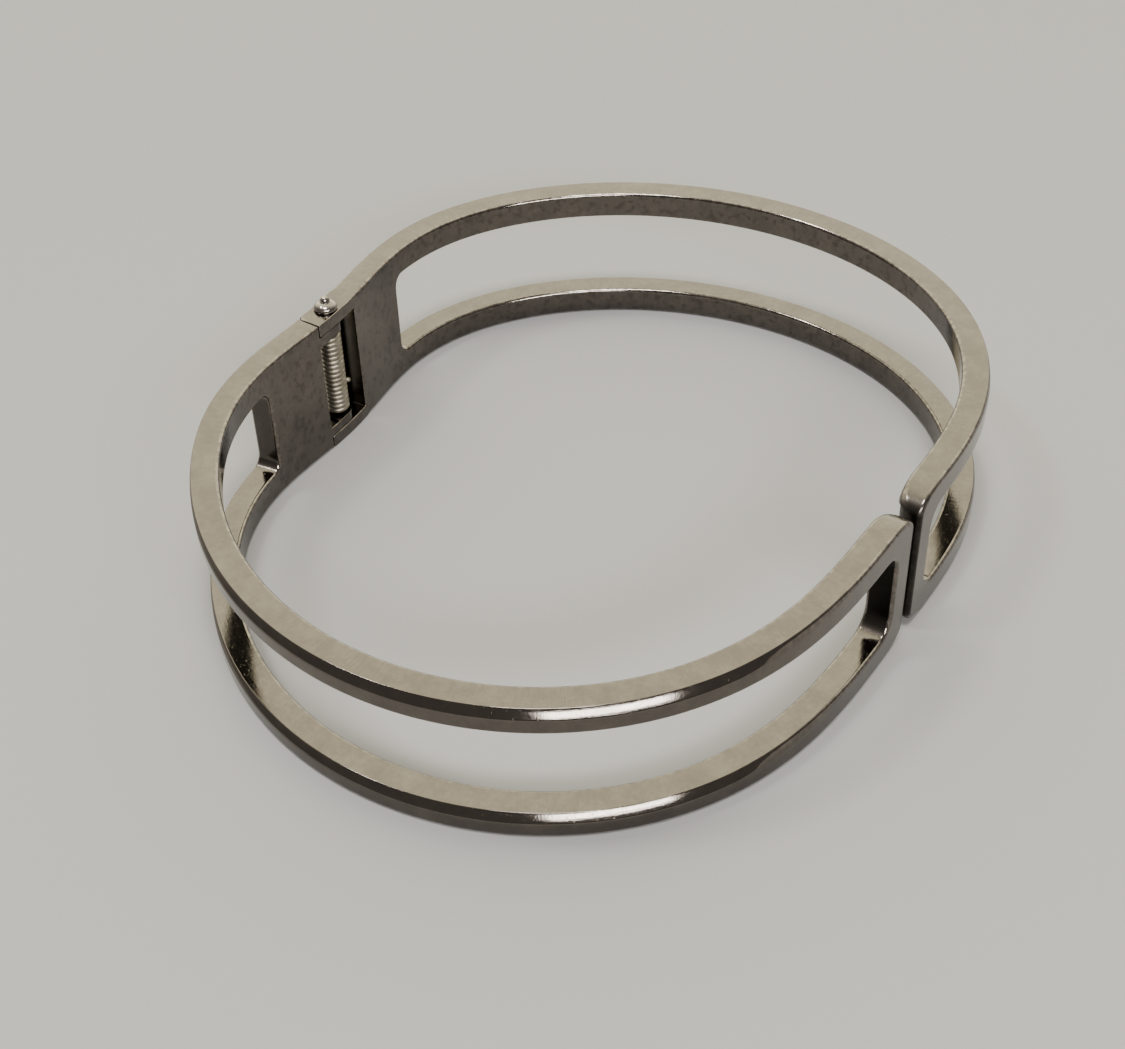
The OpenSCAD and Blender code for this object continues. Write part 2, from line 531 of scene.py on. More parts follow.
class MeshStock:
    """Collects vertices, faces and their surface values for one mesh."""

    def __init__(self) -> None:
        """Starts empty."""
        self.points: list[np.ndarray] = []
        self.normals: list[np.ndarray] = []
        self.band: list[np.ndarray] = []
        self.edge: list[np.ndarray] = []
        self.recess: list[np.ndarray] = []
        self.faces: list[list[int]] = []
        self.count = 0

    def add(
        self,
        points: np.ndarray,
        normals: np.ndarray,
        faces: list[list[int]],
        band: np.ndarray | None = None,
        edge: np.ndarray | None = None,
        recess: np.ndarray | None = None,
    ) -> None:
        """Adds a patch.

        Args:
            points: Places in millimetres, shape (n, 3).
            normals: Surface directions, shape (n, 3).
            faces: Corner numbers within the patch.
            band: Length, depth and height of each point, for the finish.
            edge: 1 on a rounded edge, 0 on a flat.
            recess: 1 where the surface is blackened as painted shade.
        """
        size = len(points)
        self.points.append(points)
        self.normals.append(normals)
        self.band.append(points if band is None else band)
        self.edge.append(np.zeros(size) if edge is None else edge)
        self.recess.append(np.zeros(size) if recess is None else recess)
        self.faces.extend([[i + self.count for i in f] for f in faces])
        self.count += size

    def build(self, name: str, material: bpy.types.Material) -> bpy.types.Object:
        """Makes the Blender object.

        Args:
            name: The piece's name.
            material: Its finish.

        Returns:
            The object, linked to the scene.
        """
        mesh = bpy.data.meshes.new(name)
        mesh.from_pydata((np.vstack(self.points) * MM).tolist(), [], self.faces)
        band = mesh.attributes.new("band", "FLOAT_VECTOR", "POINT")
        band.data.foreach_set("vector", np.vstack(self.band).astype(np.float32).ravel())
        for key, parts in (("edge", self.edge), ("recess", self.recess)):
            values = mesh.attributes.new(key, "FLOAT", "POINT")
            values.data.foreach_set("value", np.concatenate(parts).astype(np.float32))
        mesh.polygons.foreach_set("use_smooth", [True] * len(mesh.polygons))
        mesh.update()
        mesh.normals_split_custom_set_from_vertices(np.vstack(self.normals).tolist())
        mesh.materials.append(material)
        piece = bpy.data.objects.new(name, mesh)
        bpy.context.scene.collection.objects.link(piece)
        return piece


def ring_faces(rings: int, size: int, outward: bool = True) -> list[list[int]]:
    """Quads between rings of points that follow each other.

    Args:
        rings: How many rings there are.
        size: Points in each ring.
        outward: Whether the faces look away from the middle of the rings.

    Returns:
        The corner numbers of each quad.
    """
    faces = []
    for i in range(rings - 1):
        for j in range(size):
            here, after = i * size + j, i * size + (j + 1) % size
            quad = [here, after, after + size, here + size]
            faces.append(quad if outward else [here, here + size, after + size, after])
    return faces


def capped(rings: int, size: int) -> list[list[int]]:
    """Quads between rings, with the first and the last ring closed.

    Args:
        rings: How many rings there are.
        size: Points in each ring.

    Returns:
        The corner numbers of each face.
    """
    bottom = list(range(size))[::-1]
    top = [(rings - 1) * size + j for j in range(size)]
    return [*ring_faces(rings, size), bottom, top]


def inside(points: np.ndarray, loop: np.ndarray) -> np.ndarray:
    """Which points lie inside a closed loop.

    Args:
        points: Places to test, shape (n, 2).
        loop: The loop's points, shape (m, 2).

    Returns:
        One truth value per point.
    """
    x, y = points[:, 0][:, None], points[:, 1][:, None]
    ax, ay = loop[:, 0][None], loop[:, 1][None]
    bx, by = np.roll(loop, -1, 0)[:, 0][None], np.roll(loop, -1, 0)[:, 1][None]
    spans = (ay > y) != (by > y)
    rise = np.where(by == ay, 1e-12, by - ay)
    crosses = spans & (x < (bx - ax) * (y - ay) / rise + ax)
    return crosses.sum(1) % 2 == 1


@dataclass
class Rounding:
    """How far an edge is rounded: across the face (s) and into the depth (v)."""

    face: np.ndarray
    depth: np.ndarray


class Panel:
    """An openwork panel with rounded edges, bent along a strip."""

    support = 0.05
    bevel_steps = 6
    facet_lean = 40.0
    facet_swing = 0.15
    facet_ratio = 4.0

    def __init__(self, strip: Strip, thickness: float, side: Side) -> None:
        """Keeps what the panel is bent along.

        Args:
            strip: The band that it follows.
            thickness: Its depth from the outer face to the inner one.
            side: Which half it belongs to.
        """
        self.strip = strip
        self.thickness = thickness
        self.flip = side is Side.FRONT

    def wall(self, loop: np.ndarray, outer: Rounding, inner: Rounding) -> tuple[np.ndarray, ...]:
        """Profile of the wall round a loop.

        Args:
            loop: Rows of s, z and the outward direction.
            outer: Rounding of the edge at the outer face, one value per row.
            inner: Rounding of the edge at the inner face.

        Returns:
            Arrays of shape (rings, points, 3) of s, v, z and of their
            directions, and of shape (rings, points) of the edge mask.
        """
        rings, ways, masks = [], [], []

        def ring(
            inset: np.ndarray,
            depth: np.ndarray,
            out: np.ndarray,
            down: np.ndarray,
            mask: np.ndarray | float,
        ) -> None:
            """Adds one ring of the profile.

            Args:
                inset: How far it lies in from the loop.
                depth: How far it lies below the outer face.
                out: Outward part of its direction.
                down: Part of its direction into the depth.
                mask: Edge value of its points.
            """
            place = loop[:, :2] - loop[:, 2:4] * inset[:, None]
            rings.append(np.column_stack([place[:, 0], depth, place[:, 1]]))
            way = np.column_stack([loop[:, 2] * out, down, loop[:, 3] * out])
            ways.append(way / np.linalg.norm(way, axis=1)[:, None])
            masks.append(mask * np.ones(len(loop)))

        zero, one = np.zeros(len(loop)), np.ones(len(loop))
        ring(outer.face + self.support, zero, zero, -one, 0.0)
        facet = np.clip((outer.face / outer.depth - 1.0) / self.facet_ratio, 0, 1)
        lean = math.radians(self.facet_lean)
        for k in range(self.bevel_steps + 1):
            q = math.pi / 2 * k / self.bevel_steps
            c, s = math.cos(q), math.sin(q)
            inner_ring = 0 < k < self.bevel_steps
            mask = np.sqrt(math.sin(2 * q)) * (1 - facet) if inner_ring else zero
            flat = facet if inner_ring else zero
            swing = lean + (q - math.pi / 4) * self.facet_swing
            out = (1 - flat) * s / outer.face + flat * math.sin(swing)
            down = (1 - flat) * c / outer.depth + flat * math.cos(swing)
            ring(outer.face * (1 - s), outer.depth * (1 - c), out, -down, mask)
        ring(zero, outer.depth + self.support, one, zero, 0.0)
        ring(zero, self.thickness - inner.depth - self.support, one, zero, 0.0)
        for k in range(self.bevel_steps, -1, -1):
            q = math.pi / 2 * k / self.bevel_steps
            c, s = math.cos(q), math.sin(q)
            mask = math.sin(2 * q) ** 0.5 if 0 < k < self.bevel_steps else 0.0
            depth = self.thickness - inner.depth * (1 - c)
            ring(inner.face * (1 - s), depth, s / inner.face, c / inner.depth, mask)
        ring(inner.face + self.support, self.thickness * one, zero, one, 0.0)
        return np.array(rings), np.array(ways), np.array(masks)

    def _emit(
        self,
        stock: MeshStock,
        flat: np.ndarray,
        way: np.ndarray,
        faces: list,
        edge: np.ndarray,
        recess: np.ndarray,
    ) -> None:
        """Bends flat points and adds them to the stock.

        Args:
            stock: Where they go.
            flat: Rows of s, v and z.
            way: Their directions along s, v and z.
            faces: Corner numbers of each face.
            edge: Edge value of each point.
            recess: Painted shade of each point.
        """
        points = self.strip.place(flat[:, 0], flat[:, 1], flat[:, 2])
        normals = self.strip.turn(flat[:, 0], way[:, 0], way[:, 1], way[:, 2])
        if self.flip:
            faces = [f[::-1] for f in faces]
        stock.add(points, normals, faces, flat, edge, recess)

    def add_wall(
        self, stock: MeshStock, walls: tuple, dark: np.ndarray, dark_edge: np.ndarray
    ) -> None:
        """Adds the quads of a wall.

        Args:
            stock: Where they go.
            walls: What wall() returned.
            dark: Painted shade of the wall at each point of its loop, on its flat middle.
            dark_edge: Painted shade that also holds on the rounded edges.
        """
        rings, ways, masks = walls
        count, size = rings.shape[:2]
        faces = ring_faces(count, size, outward=False)
        inner_part = np.ones(count)
        inner_part[: self.bevel_steps + 1] = 0.0
        inner_part[-self.bevel_steps - 1 :] = 0.0
        full = np.ones(count)
        full[0] = full[-1] = 0.0
        # Painted shade of each point: dark on the wall's flat middle, dark_edge on its rounded
        # edges as well.
        shade = np.maximum(np.outer(inner_part, dark), np.outer(full, dark_edge)).ravel()
        self._emit(
            stock, rings.reshape(-1, 3), ways.reshape(-1, 3), faces, masks.ravel(), shade
        )

    def add_face(
        self, stock: MeshStock, border: np.ndarray, hole: np.ndarray, depth: float
    ) -> None:
        """Fills a flat face between a border and a window.

        Args:
            stock: Where the face goes.
            border: Outer loop, rows of s and z.
            hole: Window loop, rows of s and z.
            depth: 0 for the outer face, the thickness for the inner one.
        """
        grid_step, clear = 0.5, 0.28
        low, high = border.min(0), border.max(0)
        s, z = np.meshgrid(
            np.arange(low[0] + grid_step, high[0], grid_step),
            np.arange(low[1] + grid_step / 2, high[1], grid_step),
        )
        grid = np.column_stack([s.ravel(), z.ravel()])
        grid = grid[inside(grid, border) & ~inside(grid, hole)]
        loops = np.vstack([border, hole])
        near = np.array([np.min(np.sum((loops - g) ** 2, 1)) for g in grid])
        grid = grid[near > clear**2]
        places = np.vstack([border, hole, grid])
        a, b = len(border), len(hole)
        edges = [(i, (i + 1) % a) for i in range(a)]
        edges += [(a + i, a + (i + 1) % b) for i in range(b)]
        verts, _, faces, _, _, _ = delaunay_2d_cdt(
            [Vector(p) for p in places], edges, [], 0, 1e-7, True
        )
        flat = np.array([list(v) for v in verts])
        middle = np.array([flat[list(f)].mean(0) for f in faces])
        keep = inside(middle, border) & ~inside(middle, hole)
        chosen = [list(f) for f, k in zip(faces, keep) if k]
        if depth > 0:
            chosen = [f[::-1] for f in chosen]
        full = np.column_stack([flat[:, 0], np.full(len(flat), depth), flat[:, 1]])
        way = np.tile([0.0, 1.0 if depth > 0 else -1.0, 0.0], (len(flat), 1))
        self._emit(stock, full, way, chosen, np.zeros(len(flat)), np.zeros(len(flat)))


def add_prism(
    stock: MeshStock, loop: np.ndarray, z0: float, z1: float, bevel: float, dark: float
) -> None:
    """Adds an upright prism with bevelled ends.

    Args:
        stock: Where it goes.
        loop: Rows of x, y and the outward direction, counter-clockwise.
        z0: Its lower height.
        z1: Its upper height.
        bevel: Radius of the end edges.
        dark: Painted shade of its surface.
    """
    steps = 4
    profile = [
        (bevel * (1 - math.sin(q)), z0 + bevel * (1 - math.cos(q)), math.sin(q), -math.cos(q))
        for q in np.linspace(0, math.pi / 2, steps)
    ]
    profile += [(i, z0 + z1 - z, s, -c) for i, z, s, c in profile[::-1]]
    rings, ways = [], []
    for inset, z, out, up in profile:
        rings.append(np.column_stack([loop[:, :2] - loop[:, 2:4] * inset, np.full(len(loop), z)]))
        ways.append(np.column_stack([loop[:, 2:4] * out, np.full(len(loop), up)]))
    points = np.vstack(rings)
    faces = capped(len(profile), len(loop))
    stock.add(points, np.vstack(ways), faces, recess=np.full(len(points), dark))


def add_lathe(stock: MeshStock, centre: np.ndarray, profile: np.ndarray, sides: int = 48) -> None:
    """Adds a turned shape.

    Args:
        stock: Where it goes.
        centre: The axis in plan.
        profile: Rows of radius, height and the direction's two parts, from
            the bottom to the top along the outside.
        sides: Steps round the axis.
    """
    rings, ways = [], []
    for r, z, out, up in profile:
        q = np.linspace(0, 2 * math.pi, sides, endpoint=False)
        x, y = centre[0] + r * np.cos(q), centre[1] + r * np.sin(q)
        rings.append(np.column_stack([x, y, np.full(sides, z)]))
        ways.append(np.column_stack([out * np.cos(q), out * np.sin(q), np.full(sides, up)]))
    stock.add(np.vstack(rings), np.vstack(ways), capped(len(profile), sides))


def add_wire(stock: MeshStock, path: np.ndarray, radius: float, sides: int = 14) -> None:
    """Adds a round wire with rounded ends along a path.

    Args:
        stock: Where it goes.
        path: Points in millimetres, shape (n, 3).
        radius: The wire's radius.
        sides: Steps round the wire.
    """
    tangent = np.gradient(path, axis=0)
    tangent /= np.linalg.norm(tangent, axis=1)[:, None]
    side = np.cross(tangent[0], [0.3, 0.2, 0.93])
    side /= np.linalg.norm(side)
    carried = []
    for t in tangent:
        side = side - t * (side @ t)
        side = side / np.linalg.norm(side)
        carried.append(side)
    across = np.array(carried)
    third = np.cross(tangent, across)
    ends = [math.radians(q) for q in (12, 40, 65)]
    tips = [(radius * math.cos(q), radius * math.sin(q), math.cos(q)) for q in ends]
    rows = [(0, -shift, r, -lean) for shift, r, lean in tips]
    rows += [(i, 0.0, radius, 0.0) for i in range(len(path))]
    rows += [(len(path) - 1, shift, r, lean) for shift, r, lean in tips[::-1]]
    q = np.linspace(0, 2 * math.pi, sides, endpoint=False)
    rings, ways = [], []
    for i, shift, r, lean in rows:
        ray = np.cos(q)[:, None] * across[i] + np.sin(q)[:, None] * third[i]
        rings.append(path[i] + tangent[i] * shift + ray * r)
        ways.append(ray * math.sqrt(max(0.0, 1 - lean**2)) + tangent[i] * lean)
    stock.add(np.vstack(rings), np.vstack(ways), capped(len(rows), sides))


# --- The bangle's sub-assemblies ---


@dataclass
class Hinge:
    """Sizes that the two halves, the pin and the spring share at the hinge."""

    pin: np.ndarray
    height: float
    arm_h: float = 1.1
    arm_reach: float = 2.2
    play: float = 0.08
    pocket_edge: float = 2.2
    pocket_skin: float = 0.45
    ear_r: float = 1.05
    upper_ear_h: float = 0.85
    lower_ear_h: float = 0.8
    coil_r: float = 0.7
    wire_r: float = 0.225
    pin_depth: float = 1.1
    hollow_reach: float = 2.3
    hollow_depth: float = 0.4

    @property
    def ear_top(self) -> float:
        """Height of the top of the upper ear."""
        return self.height - self.arm_h - self.play

    @property
    def ear_bottom(self) -> float:
        """Height of the underside of the lower ear."""
        return self.arm_h + self.play

    @property
    def coil_top(self) -> float:
        """Upper end of the spring coil."""
        return self.ear_top - self.upper_ear_h - self.play

    @property
    def coil_bottom(self) -> float:
        """Lower end of the spring coil."""
        return self.ear_bottom + self.lower_ear_h + self.play

    @property
    def lug_face(self) -> float:
        """Distance from the pin to the face of the front half's lug."""
        return self.coil_r + self.wire_r + 0.2


@dataclass
class HalfHoop:
    """One openwork half: rails, hinge plate, post, and its part of the hinge."""

    side: Side
    outline: Outline
    hinge: Hinge
    material: bpy.types.Material
    thickness: float = 2.17
    rail: float = 2.25
    post: float = 2.3
    window_start: float = 9.0
    edge_r: float = 0.3
    small_r: float = 0.1
    facet_face: float = 1.15
    facet_depth: float = 0.2
    facet_off_hinge: float = 8.0
    facet_off_opening: float = 8.0
    facet_fade_hinge: float = 8.0
    facet_fade_opening: float = 12.0
    end_inner_face: float = 1.75
    end_straight: float = 0.62
    end_outer_extra: float = 0.12
    sharp_before_pin: float = 2.6
    sharp_fade: float = 0.3
    tip_face: float = 0.3
    tip_depth: float = 1.1
    # Painted shade, as a share of black: the pocket and hollow walls out to dark_half from
    # mid-height, fading over dark_fade; the end faces at the opening; the window side walls by the
    # post and along the plate.
    dark_half: float = 4.2
    dark_fade: float = 0.4
    end_shade: float = 0.85
    post_shade: float = 0.9
    plate_shade: float = 0.45
    skin_inset: float = 0.03
    skin_gap: float = 0.3
    skin_lap: float = 0.4
    skin_root: float = 0.3
    skin_bevel: float = 0.08
    wall_lap: float = 0.1
    ear_root: float = 0.5
    ear_bevel: float = 0.07
    # Painted shade on the ears.
    ear_shade: float = 0.25
    window_r_hinge: float = 1.0
    window_r_post: float = 1.6
    end_edge: float = 1.5
    end_reach: float = 2.9
    step: float = 0.3

    def border(self, strip: Strip) -> list[Corner]:
        """Corners of the half's side view, from the opening's lower corner.

        Args:
            strip: The half's strip.

        Returns:
            The corners, counter-clockwise.
        """
        top, h, g = self.hinge.height, self.hinge, self.small_r
        if self.side is Side.BACK:
            tip, root = strip.pin_s + h.arm_reach, strip.pin_s - h.pocket_edge
            low, high = h.arm_h, top - h.arm_h
            notch = []
        else:
            tip, root = strip.pin_s - h.arm_reach - h.play, strip.pin_s - h.lug_face
            low, high = h.ear_bottom, h.ear_top
            back = strip.pin_s - h.hollow_reach
            floor, roof = low + h.lower_ear_h, high - h.upper_ear_h
            notch = [
                Corner(root, floor, g, g),
                Corner(back, floor, g, g),
                Corner(back, roof, g, g),
                Corner(root, roof, g, g),
            ]
        return [
            Corner(0.0, 0.0, self.end_edge, self.end_reach),
            Corner(tip, 0.0, g, g),
            Corner(tip, low, g, g),
            Corner(root, low, g, g),
            *notch,
            Corner(root, high, g, g),
            Corner(tip, high, g, g),
            Corner(tip, top, g, g),
            Corner(0.0, top, self.end_reach, self.end_edge),
        ]

    def window(self, strip: Strip) -> list[Corner]:
        """Corners of the long window.

        Args:
            strip: The half's strip.

        Returns:
            The corners, clockwise.
        """
        start, end = self.post, strip.pin_s - self.window_start
        low, high = self.rail, self.hinge.height - self.rail
        p, q = self.window_r_post, self.window_r_hinge
        return [
            Corner(start, low, p, p),
            Corner(start, high, p, p),
            Corner(end, high, q, q),
            Corner(end, low, q, q),
        ]

    def facing_up(self, loop: np.ndarray, strip: Strip) -> np.ndarray:
        """How far each point of a loop belongs to the upper outer edge of a rail.

        Args:
            loop: Rows of the loop.
            strip: The half's strip.

        Returns:
            1 on a rail's upper edge, fading to 0 towards the hinge and the opening.
        """
        upward = np.clip(loop[:, 3], 0, 1) ** 3
        to_hinge = strip.pin_s - self.facet_off_hinge - loop[:, 0]
        from_opening = loop[:, 0] - self.facet_off_opening
        before_hinge = np.clip(to_hinge / self.facet_fade_hinge, 0, 1)
        past_opening = np.clip(from_opening / self.facet_fade_opening, 0, 1)
        return upward * before_hinge * past_opening

    def rounding(self, loop: np.ndarray, strip: Strip, turn: Turn) -> Rounding:
        """Edge rounding at each point of the border.

        Args:
            loop: Rows of the border.
            strip: The half's strip.
            turn: Which face's edge is rounded.

        Returns:
            The rounding across the face and into the depth.
        """
        toward_opening = np.clip(-loop[:, 2], 0, 1) ** 1.5 * (loop[:, 0] < self.end_reach + 0.1)
        sharp_start = strip.pin_s - self.sharp_before_pin
        at_hinge = np.clip((loop[:, 0] - sharp_start) / self.sharp_fade, 0, 1)
        base = self.edge_r
        if turn is Turn.INNER:
            face = base + (self.end_inner_face - base) * toward_opening
            depth = base + (self.thickness - self.end_straight - base) * toward_opening
        else:
            upward = self.facing_up(loop, strip)
            ending = base + self.end_outer_extra * toward_opening
            face = ending + (self.facet_face - base) * upward
            depth = ending + (self.facet_depth - base) * upward
        face = face + (self.small_r - face) * at_hinge
        depth = depth + (self.small_r - depth) * at_hinge
        if turn is Turn.OUTER and self.side is Side.BACK:
            tip = at_hinge * (loop[:, 0] > strip.pin_s + self.hinge.arm_reach - self.tip_face)
            face = face + (self.tip_face - face) * tip
            depth = depth + (self.tip_depth - depth) * tip
        return Rounding(face, depth)

    def build(self) -> bpy.types.Object:
        """Makes the half as one mesh.

        Returns:
            The finished piece.
        """
        h = self.hinge
        strip = Strip(self.outline, self.side, float(h.pin[1]))
        panel = Panel(strip, self.thickness, self.side)
        stock = MeshStock()
        border = trace_corners(self.border(strip), self.step)
        window = trace_corners(self.window(strip), self.step)
        # Painted shade: the walls inside the spring pocket or the hollow are blackened around
        # mid-height.
        root = strip.pin_s - (h.pocket_edge if self.side is Side.BACK else h.hollow_reach)
        depth_in = np.clip((border[:, 0] - root + 0.02) / 0.05, 0, 1)
        off_middle = np.abs(border[:, 1] - h.height / 2)
        dark = depth_in * np.clip((self.dark_half - off_middle) / self.dark_fade, 0, 1)
        # Painted shade: the end faces at the opening darken, their rounded edges too.
        ending = np.clip(-border[:, 2], 0, 1) ** 2 * (border[:, 0] < self.end_reach)
        # Painted shade: the window's upright side walls darken, more by the post than along the
        # plate.
        upright = np.abs(window[:, 2]) ** 2
        by_post = window[:, 0] < self.post + self.window_r_post
        side_wall = upright * np.where(by_post, self.post_shade, self.plate_shade)
        outer, hole = (
            panel.wall(loop, *(self.rounding(loop, strip, turn) for turn in Turn))
            for loop in (border, window)
        )
        panel.add_wall(stock, outer, dark, ending * self.end_shade)
        panel.add_wall(stock, hole, side_wall, np.zeros_like(side_wall))
        for ring, depth in ((0, 0.0), (-1, self.thickness)):
            panel.add_face(stock, outer[0][ring][:, [0, 2]], hole[0][ring][:, [0, 2]], depth)
        if self.side is Side.BACK:
            self.add_skin(stock)
        else:
            self.add_ears(stock)
        name = "back_hoop" if self.side is Side.BACK else "front_hoop"
        return stock.build(name, self.material)

    def plan_loop(self, corners: list[Corner]) -> np.ndarray:
        """Places a small shape beside the pin, in plan.

        Args:
            corners: Corners by their distance from the pin across and along the band.

        Returns:
            Rows of x, y and the outward direction.
        """
        loop = trace_corners(corners, self.step, 5)
        loop[:, :2] += self.hinge.pin
        return loop

    def add_skin(self, stock: MeshStock) -> None:
        """Adds the thin outer wall that closes the spring pocket, blackened all over as painted
        shade.

        Args:
            stock: Where it goes.
        """
        h = self.hinge
        left, right = self.skin_inset - h.pin_depth, h.pocket_skin - h.pin_depth
        low, high = h.ear_r + self.skin_gap, h.pocket_edge + self.skin_lap
        g = self.skin_bevel
        corners = [
            Corner(left, low, g, g),
            Corner(right, low, g, g),
            Corner(right, high, g, g),
            Corner(left, high, g, g),
        ]
        lap = self.skin_lap / 2
        # Painted shade: the skin is fully black.
        add_prism(stock, self.plan_loop(corners), h.arm_h - lap, h.height - h.arm_h + lap, g, 1.0)

    def add_ears(self, stock: MeshStock) -> None:
        """Adds the two ears that close round the pin, and the wall outside the hollow; the wall is
        fully black and the ears partly darkened, as painted shade.

        Args:
            stock: Where they go.
        """
        h = self.hinge
        outer, root = self.skin_inset - h.pin_depth, -h.hollow_reach - self.skin_root
        slant = [
            (outer, -h.lug_face),
            (-h.hollow_depth, -h.lug_face),
            (h.hollow_depth, -h.hollow_reach),
            (h.hollow_depth, root),
            (outer, root),
        ]
        wall = np.array(slant)[::-1]
        ahead = np.roll(wall, -1, 0) - wall
        out = np.column_stack([ahead[:, 1], -ahead[:, 0]])
        out /= np.linalg.norm(out, axis=1)[:, None]
        rows = [[*p, *n] for i, n in enumerate(out) for p in (wall[i], wall[(i + 1) % len(wall)])]
        skin = np.array(rows)
        skin[:, :2] += h.pin
        floor, roof = h.ear_bottom + h.lower_ear_h, h.ear_top - h.upper_ear_h
        lap, sharp = self.wall_lap, 0.01
        # Painted shade: the wall outside the hollow is fully black.
        add_prism(stock, skin, floor - lap, roof + lap, sharp, 1.0)
        r, back, g = h.ear_r, -h.lug_face - self.ear_root, self.small_r
        corners = [
            Corner(-r, back, g, g),
            Corner(r, back, g, g),
            Corner(r, r, r, r),
            Corner(-r, r, r, r),
        ]
        loop = self.plan_loop(corners)
        # Painted shade: the ears are darkened by their ear_shade share.
        for z0, z1 in ((h.ear_bottom, floor), (roof, h.ear_top)):
            add_prism(stock, loop, z0, z1, self.ear_bevel, self.ear_shade)


@dataclass
class HingePin:
    """The pin through the hinge, with its domed head."""

    hinge: Hinge
    material: bpy.types.Material
    radius: float = 0.35
    head_r: float = 0.95
    head_h: float = 1.15
    head_lip: float = 0.12
    dome_h: float = 0.58
    nub_r: float = 0.42
    tip_angle: float = math.pi / 2 * 0.985

    def build(self) -> bpy.types.Object:
        """Makes the pin.

        Returns:
            The finished piece.
        """
        top = self.hinge.height
        rows = [
            (0.001, 0.02, 0.0, -1.0),
            (self.radius - 0.08, 0.02, 0.0, -1.0),
            (self.radius, 0.1, 1.0, 0.0),
            (self.radius, top - 0.05, 1.0, 0.0),
            (self.head_r - 0.1, top + 0.005, 0.0, -1.0),
            (self.head_r - 0.02, top + 0.03, 0.7, -0.7),
        ]
        neck = math.acos(self.nub_r / self.head_r)
        base = top + self.head_lip + self.dome_h * math.sin(neck)
        nub_h = self.head_h - base + top
        tiers = (
            (np.linspace(0, neck, 10), self.head_r, self.dome_h, top + self.head_lip),
            (np.linspace(0.1, self.tip_angle, 10), self.nub_r, nub_h, base),
        )
        for sweep, radius, height, start in tiers:
            for q in sweep:
                out, up = math.cos(q) / radius, math.sin(q) / height
                size = math.hypot(out, up)
                place = (radius * math.cos(q), start + height * math.sin(q))
                rows.append((*place, out / size, up / size))
        stock = MeshStock()
        add_lathe(stock, self.hinge.pin, np.array(rows))
        return stock.build("pin", self.material)


@dataclass
class ClosingSpring:
    """The close-wound spring round the pin, with one leg in each half."""

    hinge: Hinge
    material: bpy.types.Material
    turns: int = 17
    turn_steps: int = 40
    leg_z: float = 4.3
    lead_reach: float = 1.45
    tail_angle: float = 50.0
    tail_reach: float = 1.05

    def path(self) -> np.ndarray:
        """Centre line of the front half's leg and of the coil below it.

        Returns:
            Points from the pin in millimetres, shape (n, 3).
        """
        h = self.hinge
        top, bottom = h.coil_top - h.wire_r, h.coil_bottom + h.wire_r
        begin, whole = math.pi, 2 * math.pi * self.turns
        q = np.linspace(0, 1, self.turns * self.turn_steps)
        angle = begin - q * whole
        coil = np.column_stack(
            [h.coil_r * np.cos(angle), h.coil_r * np.sin(angle), top + (bottom - top) * q]
        )
        lead = np.linspace(-self.lead_reach, -0.05, 12)
        first = np.column_stack([np.full(12, -h.coil_r), lead, np.full(12, top)])
        return np.vstack([first, coil])

    def tail(self) -> np.ndarray:
        """The back leg: out of the coil's hidden side to the mouth of the pocket.

        Returns:
            Points from the pin in millimetres, shape (n, 3).
        """
        q = math.radians(self.tail_angle)
        start = self.hinge.coil_r * np.array([-math.cos(q), math.sin(q)])
        way = np.array([math.sin(q), math.cos(q)])
        run = np.linspace(-0.3, self.tail_reach, 12)
        plan = start + run[:, None] * way
        height = self.leg_z + 0.1 * np.sin(run)
        return np.column_stack([plan, height])

    def build(self) -> bpy.types.Object:
        """Makes the spring.

        Returns:
            The finished piece.
        """
        stock = MeshStock()
        base = np.array([*self.hinge.pin, 0.0])
        add_wire(stock, self.path() + base, self.hinge.wire_r + 0.015)
        add_wire(stock, self.tail() + base, self.hinge.wire_r - 0.01)
        return stock.build("closing_spring", self.material)


@dataclass
class Bangle:
    """The whole bracelet, made from the frame."""

    def build(self) -> None:
        """Builds every piece and fixes the halves and the pin to their bodies."""
        boxes = [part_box(n) for n in ("back_half", "front_half")]
        low = Vector([min(b[0][k] for b in boxes) for k in range(3)])
        high = Vector([max(b[1][k] for b in boxes) for k in range(3)])
        outline = Outline()
        outline.settle(low, high)
        joint = frame["joints"][0]
        pin = np.array(joint["pos_m"][:2]) / MM
        hinge = Hinge(pin=pin, height=high.z / MM)
        plating = DarkPlating().build()
        for side, body, node in (
            (Side.BACK, "back_body", "back_half"),
            (Side.FRONT, "front_body", "front_half"),
        ):
            half = HalfHoop(side, outline, hinge, plating).build()
            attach(half, body)
            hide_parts(node)
            LOG.info("%s: %d faces", half.name, len(half.data.polygons))
        head = HingePin(hinge, PinSteel().build()).build()
        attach(head, "back_body")
        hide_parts("hinge_pin")
        LOG.info("%s: %d faces", head.name, len(head.data.polygons))
        spring = ClosingSpring(hinge, SpringWire().build()).build()
        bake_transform(spring)
        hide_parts("hinge_spring")
        LOG.info("%s: %d faces", spring.name, len(spring.data.polygons))


# --- Studio ---


